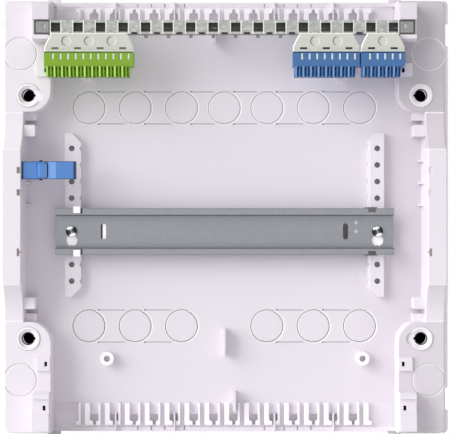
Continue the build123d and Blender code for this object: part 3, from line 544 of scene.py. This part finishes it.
def galvanised(name, light, dark, roughness, patch):
    """Zinc plate with patches of about patch metres and fine rolling lines along X."""
    finish = Finish(name, roughness, metallic=0.85)
    spot = finish.node("ShaderNodeMapping", values={0: finish.place(), "Scale": (0.6, 1, 1)})
    cells = finish.node("ShaderNodeTexVoronoi", {"feature": "F1"},
                        {"Vector": spot, "Scale": 1 / patch, "Randomness": 1.0}, output=1)
    grey = finish.node("ShaderNodeRGBToBW", values={0: cells})
    lines = finish.noise(700.0, stretch=(0.02, 1, 1))
    blend = grey * 0.5 + finish.noise(240.0, detail=3.0) * 0.3 + lines * 0.2
    finish.tone = finish.mix(blend, dark, light)
    finish.set("Base Color", finish.tone)
    finish.set("Roughness", grey * ZINC_GLOSS_SWING + roughness - ZINC_GLOSS_SWING / 2)
    finish.relief(lines * 0.5 + finish.noise(1500.0) * 0.5, depth=0.00003, edge=0.0003)
    return finish


print("recipe for zinc is ready")

# %% [markdown]
# ## The mounting rail
# The rail is a strip folded to the shape of a hat. Its brim takes the devices. The four folds get
# painted shade as dark lines and the edge of the brim a softer one, two small dimples at the right
# get painted highlights, and painted shadows lie beside the nibs at the left. Nearly all of this
# follows the rail's length. It could be drawn on a flat pattern of the strip, but the distance from
# its middle line already places every mark.

# %% Finish the mounting rail
BRIM_HEIGHT = 18.0
DIMPLE_ACROSS, DIMPLE_STEP, DIMPLE_RADIUS = 99.8, 3.3, 1.3

rail_steel = galvanised("rail steel", shade(153, 155, 160), shade(137, 139, 144), 0.42, 0.0012)
across, height, up = rail_steel.across_height_up()
from_middle = abs(up - RAIL_MIDDLE)
on_brim = height > BRIM_HEIGHT
# Painted shade at the folds and along the brim's edge, painted highlights on the dimples.
fold_shade = (from_middle - (up < RAIL_MIDDLE) * 0.7).within(11.7, 12.6)
brim_edge_shade = from_middle.within(17.1, 17.6) * on_brim
dimple_up = abs(up - RAIL_MIDDLE - DIMPLE_STEP) - DIMPLE_STEP
dimple_highlights = (across - DIMPLE_ACROSS) ** 2 + dimple_up**2 < DIMPLE_RADIUS**2
nib_shadows = (abs(across + 107.9) < 0.7) * from_middle.within(13.4, 17.4) * on_brim
rail_steel.layers(
    rail_steel.tone,
    (nib_shadows, shade(58, 60, 64)),
    (fold_shade, shade(104, 107, 112)),
    (brim_edge_shade, shade(122, 124, 129)),
    (dimple_highlights, shade(186, 188, 190)),
)
rail_steel.paint("din_rail")
print("mounting rail painted")

# %% [markdown]
# ## The carrier rail
# The strip that holds the terminals has square windows at one fixed pitch. Their punched edges get
# painted highlights, the inside of the strip and its lower edge get painted shade, and both ends
# carry a rough tab. The windows are in the solid, so the masks only need the pitch to find each
# edge.

# %% Finish the carrier rail
WINDOW_PITCH = 16.73
CARRIER_FRONT = 39.0

carrier_steel = galvanised(
    "carrier steel", shade(208, 209, 206), shade(126, 127, 125), 0.44, 0.0016,
)
across, height, up = carrier_steel.across_height_up()
side = abs(across)
on_front = height > CARRIER_FRONT - 1.3
from_window = across.from_nearest(WINDOW_PITCH / 2, WINDOW_PITCH)
# Painted shade inside the strip and on its lower edge, painted highlights on the window edges.
inner_shade = (height < CARRIER_FRONT - 1.6) * up.within(136.2, 146.1)
lower_edge_shade = (up < 136.2) * (height < CARRIER_FRONT - 0.3)
window_edge_highlight = from_window.within(3.55, 4.3) * on_front * (side < 130.0)
end_tabs = (side > 129.3) * on_front
tab_border = (side > 140.2) + (side < 130.6) + (up > 145.2) + (up < 137.0)
rough_zinc = carrier_steel.mix(
    carrier_steel.noise(900.0), shade(120, 121, 120), shade(168, 169, 167),
)
carrier_steel.layers(
    carrier_steel.tone,
    (end_tabs, rough_zinc),
    (end_tabs * tab_border.smaller(1.0), shade(86, 87, 86)),
    (window_edge_highlight, shade(226, 227, 224)),
    (inner_shade, shade(84, 85, 82)),
    (lower_edge_shade, shade(150, 149, 150)),
)
carrier_steel.paint("carrier_rail")
print("carrier rail painted, windows every", WINDOW_PITCH, "mm")

# %% [markdown]
# ## Terminal plastics
# Earth terminals are green and neutral terminals are blue. The wires go in from below, past thin
# dividers that get painted highlights. Inside the ports a weak painted glow in a deep tone of the
# same colour lightens the shade, so they don't turn black. That glow is a weak emission behind a
# mask that holds only the inside of the ports.

# %% A recipe for terminal plastic
PORT_PITCH = WINDOW_PITCH / 3
FIRST_PORT = 5.4
FIRST_DIVIDER = FIRST_PORT - PORT_PITCH / 2
BLOCK_ROUGHNESS = 0.4
BLOCK_SHEEN = 0.3


def terminal_plastic(name, tint, deep, divider_highlight, line, port_painted_glow, *nodes):
    """Plastic of a terminal block, with painted highlights on the dividers, a dark joint line and a
    painted glow in the ports.
    """
    finish = moulded(name, tint, deep, BLOCK_ROUGHNESS)
    finish.set("Specular IOR Level", BLOCK_SHEEN)
    across, height, up = finish.across_height_up()
    ports = up < 111.5
    divider_highlights = (across.from_nearest(FIRST_DIVIDER, PORT_PITCH) < 0.6) * ports * (height > 42.5)
    joint = (up > 121.2) * (height > 41.5)
    finish.layers(finish.tone, (divider_highlights, divider_highlight), (joint, line))
    deep_in = up.within(105.9, 114.5) * (height < 42.0)
    finish.glow((deep_in, port_painted_glow))
    finish.paint(*nodes)


print("ports stand", round(PORT_PITCH, 2), "mm apart")

# %% Finish the terminals
terminal_plastic(
    "earth green", shade(135, 175, 54), shade(123, 162, 42), shade(188, 232, 104),
    shade(84, 108, 38), shade(46, 82, 8), "earth_terminal_housing",
)
terminal_plastic(
    "neutral blue", shade(76, 119, 172), shade(66, 108, 161), shade(118, 162, 212),
    shade(38, 62, 100), shade(14, 40, 84), "neutral_terminal_long_housing",
    "neutral_terminal_short_housing",
)
print("terminals painted")

# %% [markdown]
# ## Label carriers
# Each window of the rail has its number below it on the grey label carrier. At this size a number
# is only a small dark field, so that is what is drawn. The plate's foot gets a painted highlight
# and a weak painted glow, its slopes get a painted highlight, and some windows have a round dial
# above the field, with painted shade on its left edge and a painted highlight on its right. The
# slopes are found by the way that they face, as their place alone wouldn't tell them apart.

# %% A recipe for label carriers
DIAL_UP = 130.2
ON_LABEL = 43.0


def label_plastic(name, print_tint, wear, dials, *nodes):
    """Pale grey plastic with a field under each window, round dials with painted shade and
    highlight, and painted highlights on the slopes and the foot.
    """
    finish = moulded(name, shade(216, 217, 209), shade(200, 202, 194), BLOCK_ROUGHNESS)
    across, height, up = finish.across_height_up()
    on_face = height > ON_LABEL
    under_window = across.from_nearest(WINDOW_PITCH / 2, WINDOW_PITCH) < 2.6
    field = under_window * up.within(124.1, 125.6) * on_face
    foot_highlight = (up < 123.2) * (height > 42.0)
    worn = (finish.noise(1400.0) * wear + (1.1 - wear / 2)).smaller(1.0)
    dial = across.past_nearest(0.0, WINDOW_PITCH)
    has_dial = sum(across.within(first - 5.0, last + 5.0) for first, last in dials)
    dial_light_and_shade = away(dial, up - DIAL_UP).within(2.9, 3.6) * on_face * has_dial
    facing = finish.split(finish.node("ShaderNodeNewGeometry", output="True Normal"))[1]
    slope_highlights = facing.within(-0.92, -0.4) * (height > 42.5)
    finish.layers(
        finish.tone,
        (slope_highlights, shade(248, 250, 244)),
        (dial_light_and_shade * (dial < -1.0), shade(138, 140, 130)),
        (dial_light_and_shade * (dial > 1.4), shade(232, 234, 226)),
        (foot_highlight, shade(250, 252, 246)),
        (field * worn, print_tint),
    )
    finish.glow((foot_highlight, shade(150, 152, 146)))
    finish.paint(*nodes)


print("dials stand at", DIAL_UP, "mm")

# %% Finish the label carriers
label_plastic(
    "earth label", shade(92, 96, 70), 0.6, [(-7 * WINDOW_PITCH, -5 * WINDOW_PITCH)],
    "earth_terminal_label_carrier",
)
label_plastic(
    "neutral label", shade(10, 11, 15), 0.2,
    [(4 * WINDOW_PITCH, 5 * WINDOW_PITCH), (7 * WINDOW_PITCH, 7 * WINDOW_PITCH)],
    "neutral_terminal_long_label_carrier", "neutral_terminal_short_label_carrier",
)
print("label carriers painted")

# %% [markdown]
# ## Metal inside the terminals
# A tinned busbar joins the ways of each block, and stainless springs press the wires on it. The
# springs' release tabs stand in the slots of the front, so their finish is seen. Deeper down the
# bright steel lies in shade and mirrors the coloured plastic round it. A render would need many
# bounces to find that, so there the steel gets a painted reflection and shade instead: a deep tone
# of its block.

# %% A recipe for plated metal
METAL_GLOSS_SWING = 0.14


def plated(name, light, dark, roughness):
    """Bare or plated metal with a faint cloudy stain."""
    finish = Finish(name, roughness, metallic=1.0)
    finish.set("Base Color", finish.mix(finish.noise(300.0, detail=3.0), dark, light))
    clouds = finish.noise(1200.0) * METAL_GLOSS_SWING
    finish.set("Roughness", clouds + roughness - METAL_GLOSS_SWING / 2)
    finish.relief(finish.noise(2200.0), depth=0.00002, edge=0.0002)
    return finish


print("recipe for plated metal is ready")

# %% Finish the small metal
TAB_HEIGHT = 44.2

tinned = plated("tinned copper", shade(214, 208, 198), shade(188, 182, 172), 0.3)
tinned.paint(*[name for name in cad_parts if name.endswith("_busbar")])
spring_steel = plated("spring steel", shade(226, 232, 226), shade(200, 208, 202), 0.3)
across, height, up = spring_steel.across_height_up()
# Painted reflection and shade below the release tabs, in the colour of each block.
port_reflection_and_shade = spring_steel.mix(across < 0, shade(34, 58, 98), shade(66, 104, 30))
spring_steel.layers(shade(222, 228, 224), (height < TAB_HEIGHT, port_reflection_and_shade))
spring_steel.paint(*[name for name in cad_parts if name.endswith("_springs")])
pin_steel = plated("blackened steel", shade(44, 46, 52), shade(24, 25, 30), 0.4)
pin_steel.paint("cable_clip_pin")
print("small metal painted")

# %% [markdown]
# ## The cable clip
# The clip is one blue plastic in two pieces. Its ramp turns to the light and gets a painted
# highlight, its free end turns away and gets painted shade, and the long edges get painted shade
# where the clip stands off the wall behind it. The gap between the pieces is painted dark with
# shade, and a weak painted glow takes the shade out of the hinge gap. The clip's faces meet at
# clear lines, so strips measured along the clip set their tones.

# %% Finish the cable clip
CLIP_MIDDLE = 34.8

clip_blue = moulded("clip blue", shade(92, 140, 206), shade(80, 127, 192), BLOCK_ROUGHNESS)
clip_blue.set("Specular IOR Level", BLOCK_SHEEN)
across, height, up = clip_blue.across_height_up()
from_clip_middle = abs(up - CLIP_MIDDLE)
rim = (from_clip_middle > 6.15) + (across < -149.6) + (across > -111.9)
ramp = across.within(-131.3, -125.4) * (height > 34.0)
end = (across > -112.6) * (height > 30.0)
gap_shade = across.within(-132.1, -131.3)
clip_blue.layers(
    clip_blue.tone,
    (ramp, shade(116, 160, 224)),
    (end, shade(66, 98, 146)),
    (rim.smaller(1.0), shade(40, 66, 112)),
    (gap_shade, shade(18, 26, 46)),
)
above_pin = (height < 36.7) * (height > 31.0)
# A weak painted glow in the hinge gap.
hinge_gap_glow = across.within(-141.4, -140.1) * above_pin * (from_clip_middle < 6.0)
clip_blue.glow((hinge_gap_glow, shade(74, 120, 182)))
clip_blue.paint("cable_clip_base", "cable_clip_arm")
print("clip painted, its middle line at", CLIP_MIDDLE, "mm")

# %% [markdown]
# ## Two cross-head screws
# The CAD screws hold the place of the real ones. Their heads are worth more care: a domed pan
# head with a rolled rim and a tapered cross, in bright zinc. A bump could fake the cross, but
# it has real depth and a real shadow. One screw is shaped at the left end of the rail and a
# copy of its mesh is moved to the right end.

# %% Model the head
MM = 0.001
HEAD_HEIGHT = 2.6 * MM
FACING_OUT = (radians(90), 0.0, 0.0)
screw_low, screw_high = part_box("din_rail_screws")
head_radius = (screw_high.z - screw_low.z) / 2
screw_x = screw_low.x + head_radius
screw_z = (screw_low.z + screw_high.z) / 2
head_front = screw_low.y


def start_piece(name, maker, **settings):
    """Add a primitive with nothing else selected and name it."""
    bpy.ops.object.select_all(action="DESELECT")
    maker(**settings)
    piece = bpy.context.object
    piece.name = name
    return piece


def pick_vertices(piece, test):
    """Select the vertices that pass a test on their place in the frame."""
    bpy.ops.object.mode_set(mode="EDIT")
    bpy.ops.mesh.select_mode(type="VERT")
    bpy.ops.object.mode_set(mode="OBJECT")
    for part in (*piece.data.polygons, *piece.data.edges):
        part.select = False
    for vertex in piece.data.vertices:
        vertex.select = test(piece.matrix_world @ vertex.co)
    bpy.ops.object.mode_set(mode="EDIT")


screws = start_piece(
    "rail_screws", bpy.ops.mesh.primitive_cylinder_add, vertices=40, radius=head_radius,
    depth=HEAD_HEIGHT, location=(screw_x, head_front + HEAD_HEIGHT / 2, screw_z),
    rotation=FACING_OUT,
)
pick_vertices(screws, lambda place: place.y < head_front + 0.1 * MM)
bpy.ops.mesh.bevel(offset=1.5 * MM, segments=6, profile=0.62)
bpy.ops.object.mode_set(mode="OBJECT")
print("head", len(screws.data.polygons), "faces")

# %% [markdown]
# ## The cross in the head
# A driver's cross narrows towards its bottom. Two bars, one across the other, are tapered at
# their deep end and cut out of the head one after the other. The cross is turned a little, as
# a screw stops where it is tight.

# %% Cut the cross
CROSS_TURN = 25
BAR_SIZE = (5.0 * MM, 2.4 * MM, 1.05 * MM)
BAR_TAPER = 0.45

for turn in (CROSS_TURN, CROSS_TURN + 90):
    cutter = start_piece(
        "cross_cutter", bpy.ops.mesh.primitive_cube_add, size=1.0,
        location=(screw_x, head_front + 0.6 * MM, screw_z), rotation=(0.0, radians(turn), 0.0),
    )
    cutter.scale = BAR_SIZE
    bpy.context.view_layer.update()
    pick_vertices(cutter, lambda place: place.y > head_front + 1.0 * MM)
    bpy.ops.transform.resize(
        value=(BAR_TAPER, 1.0, BAR_TAPER),
        center_override=(screw_x, head_front + 1.8 * MM, screw_z),
    )
    bpy.ops.object.mode_set(mode="OBJECT")
    carve = screws.modifiers.new("cross", "BOOLEAN")
    carve.operation = "DIFFERENCE"
    carve.object = cutter
    bpy.context.view_layer.objects.active = screws
    bpy.ops.object.modifier_apply(modifier="cross")
    bpy.data.objects.remove(cutter)
print("cross cut,", len(screws.data.polygons), "faces")

# %% [markdown]
# ## The shank and the second screw
# Under the head a plain shank goes into the rib. Its thread can't be seen, so it is left off.
# The two screws are one piece, as they are one node in the frame.

# %% Add the shank and copy the screw
SHANK_RADIUS = 1.85 * MM
SMOOTH_ANGLE = radians(35)
shank_length = (screw_high.y - screw_low.y) - HEAD_HEIGHT
start_piece(
    "shank", bpy.ops.mesh.primitive_cylinder_add, vertices=24, radius=SHANK_RADIUS,
    depth=shank_length, location=(screw_x, screw_high.y - shank_length / 2, screw_z),
    rotation=FACING_OUT,
)
screws.select_set(True)
bpy.context.view_layer.objects.active = screws
bpy.ops.object.join()
bpy.ops.object.transform_apply(location=True, rotation=True, scale=True)
bpy.ops.object.mode_set(mode="EDIT")
bpy.ops.mesh.select_all(action="SELECT")
bpy.ops.mesh.duplicate_move(TRANSFORM_OT_translate={"value": (-2 * screw_x, 0.0, 0.0)})
bpy.ops.object.mode_set(mode="OBJECT")
bpy.ops.object.shade_smooth_by_angle(angle=SMOOTH_ANGLE)
print("two screws,", len(screws.data.polygons), "faces")

# %% [markdown]
# ## Bright zinc on the screws
# A bright domed head mirrors the dark and the light side of the room, so its four quarters
# differ in turn, light and dark. The room of this scene is plain white and gives no such
# picture. The product of the distances along and across the cross changes its sign from
# quarter to quarter, and a colour ramp on it gives each quarter its tone.

# %% Finish the screws
screw_steel = plated("bright zinc", shade(236, 238, 240), shade(196, 198, 202), 0.16)
across, height, up = screw_steel.across_height_up()
sideways = (across + RIB_MIDDLE) * (across < 0) + (across - RIB_MIDDLE) * (across > 0)
upward = up - screw_z / MM
turn_cos, turn_sin = cos(radians(CROSS_TURN)), sin(radians(CROSS_TURN))
along_bar = sideways * turn_cos - upward * turn_sin
across_bar = sideways * turn_sin + upward * turn_cos
room = [
    (0.0, shade(250, 251, 252)), (0.3, shade(214, 216, 220)), (0.5, shade(136, 140, 144)),
    (0.68, shade(64, 67, 72)), (1.0, shade(40, 42, 46)),
]
quarter = along_bar * across_bar * 0.16 + 0.5
mirrored = screw_steel.node("ShaderNodeValToRGB", {"stops": room}, {0: quarter})
screw_steel.set("Base Color", mirrored)
screw_steel.paint("rail_screws")
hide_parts("din_rail_screws")
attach(screws, "box")
print("screws painted, the cross is turned by", CROSS_TURN, "degrees")

# %% [markdown]
# ## The pad behind the left slot
# A white pad shows through the right half of the rail's left slot. It is a small block of the
# shell's own plastic with softened edges, so it takes the same finish, a little whiter and with a
# weak painted glow that keeps it bright in the slot's shade. It could be painted on the floor, but
# it stands nearer to the rail than the floor does.

# %% Model the pad
PAD = {"x": (-92.7, -88.9), "height": (5.9, 11.6), "z": (-18.0, -3.8)}

pad = start_piece("slot_pad", bpy.ops.mesh.primitive_cube_add, size=1.0)
pad.scale = [MM * (high - low) for low, high in PAD.values()]
pad.location = [MM * sign * sum(PAD[key]) / 2 for sign, key in ((1, "x"), (-1, "height"), (1, "z"))]
bpy.ops.object.transform_apply(location=True, rotation=True, scale=True)
bpy.ops.object.mode_set(mode="EDIT")
bpy.ops.mesh.select_all(action="SELECT")
bpy.ops.mesh.bevel(offset=0.5 * MM, segments=3)
bpy.ops.object.mode_set(mode="OBJECT")
bpy.ops.object.shade_smooth_by_angle(angle=SMOOTH_ANGLE)
pad_plastic = moulded("pad plastic", shade(252, 249, 252), shade(248, 244, 249))
# A weak painted glow.
pad_plastic.set("Emission Color", shade(140, 138, 140))
pad_plastic.set("Emission Strength", 1.0)
pad_plastic.paint("slot_pad")
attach(pad, "box")
print("pad", len(pad.data.polygons), "faces")

# %% [markdown]
# ## The white room
# The product stands before plain white, so the world is pure white to the camera and in mirror
# reflections. As a light it is a softer grey, because white from all sides would wash out the
# shadows. A light path tells the world which kind of ray asks.

# %% Build the world
AMBIENT = 0.52

white_world = bpy.data.worlds.new("white studio")
white_world.use_nodes = True
bpy.context.scene.world = white_world
world_nodes, world_links = white_world.node_tree.nodes, white_world.node_tree.links
path = world_nodes.new("ShaderNodeLightPath")
seen = path.outputs["Is Camera Ray"]
for other in ("Is Glossy Ray", "Is Transmission Ray"):
    either = world_nodes.new("ShaderNodeMath")
    either.operation = "MAXIMUM"
    world_links.new(seen, either.inputs[0])
    world_links.new(path.outputs[other], either.inputs[1])
    seen = either.outputs[0]
level = world_nodes.new("ShaderNodeMapRange")
level.inputs["To Min"].default_value = AMBIENT
level.inputs["To Max"].default_value = 1.0
world_links.new(seen, level.inputs["Value"])
world_links.new(level.outputs[0], world_nodes["Background"].inputs["Strength"])
world_nodes["Background"].inputs["Color"].default_value = (1.0, 1.0, 1.0, 1.0)
print("the room lights at", AMBIENT, "and is seen as white")

# %% [markdown]
# ## The lamp
# One large lamp far off at the upper left gives the soft shadows that lie along the left walls.
# A small lamp would draw hard edges. A sun with a wide angle could do the same, but a lamp can
# be placed and sized like one in a real studio until the shadows fit.

# %% Hang the key light
KEY_SIZE = 16.0
KEY_POWER = 3950.0
KEY_PLACE = (-16.2, -9.4, 7.8)

key_data = bpy.data.lights.new("key light", "AREA")
key_data.shape = "SQUARE"
key_data.size = KEY_SIZE
key_data.energy = KEY_POWER
key = bpy.data.objects.new("key light", key_data)
bpy.context.collection.objects.link(key)
key.location = KEY_PLACE
key.rotation_euler = (-Vector(KEY_PLACE)).to_track_quat("-Z", "Y").to_euler()
print("lamp at", round(Vector(KEY_PLACE).length, 1), "m")

# %% [markdown]
# ## The wall behind the holes
# On a wall the through holes of the box are dark with shade. A black card just behind the back
# paints that shade in. It is one-sided and only the camera sees it, so it takes no light from the
# box and doesn't hide the back from behind. It ends short of the notches at the corners.

# %% Hang the black card
CARD_GAP = 0.0006
CARD_SHARE_ACROSS, CARD_SHARE_UP = 0.918, 0.93

card = start_piece(
    "black_card", bpy.ops.mesh.primitive_plane_add, size=1.0,
    location=(0.0, cad_high[1] + CARD_GAP, 0.0),
)
card.scale = (
    CARD_SHARE_ACROSS * (cad_high[0] - cad_low[0]), CARD_SHARE_UP * (cad_high[2] - cad_low[2]), 1.0,
)
card.rotation_euler = FACING_OUT
card_finish = Finish("black card", 1.0)
card_finish.set("Base Color", BLACK)
card_finish.set("Specular IOR Level", 0.0)
card_finish.set("Alpha", 1.0 - card_finish.node("ShaderNodeNewGeometry", output="Backfacing"))
card_finish.paint("black_card")
card.visible_diffuse = card.visible_glossy = card.visible_shadow = False
print("card", [round(share / MM) for share in card.scale[:2]], "mm")

# %% [markdown]
# ## The floor
# The box stands on a pale floor that keeps its soft shadow. In the photograph the background is
# pure white, so the floor gives off a little light to the rays that look at it. More lamp
# would reach white as well, but it would burn out the shell.

# %% Lay the floor
FLOOR_SIZE = 4.0
FLOOR_GAP = 0.0005
FLOOR_LIFT = 0.55

ground = start_piece(
    "floor", bpy.ops.mesh.primitive_plane_add, size=FLOOR_SIZE,
    location=(0.0, 0.0, cad_low[2] - FLOOR_GAP),
)
ground_finish = Finish("pale floor", 0.8)
ground_finish.set("Base Color", shade(240, 240, 240))
light_path = ground_finish.node("ShaderNodeLightPath").socket.node.outputs
looking = [Signal(ground_finish, light_path[f"Is {kind} Ray"])
           for kind in ("Camera", "Glossy", "Transmission")]
ground_finish.glow((sum(looking), (FLOOR_LIFT,) * 3))
ground_finish.paint("floor")
print("floor laid", FLOOR_GAP / MM, "mm under the box")
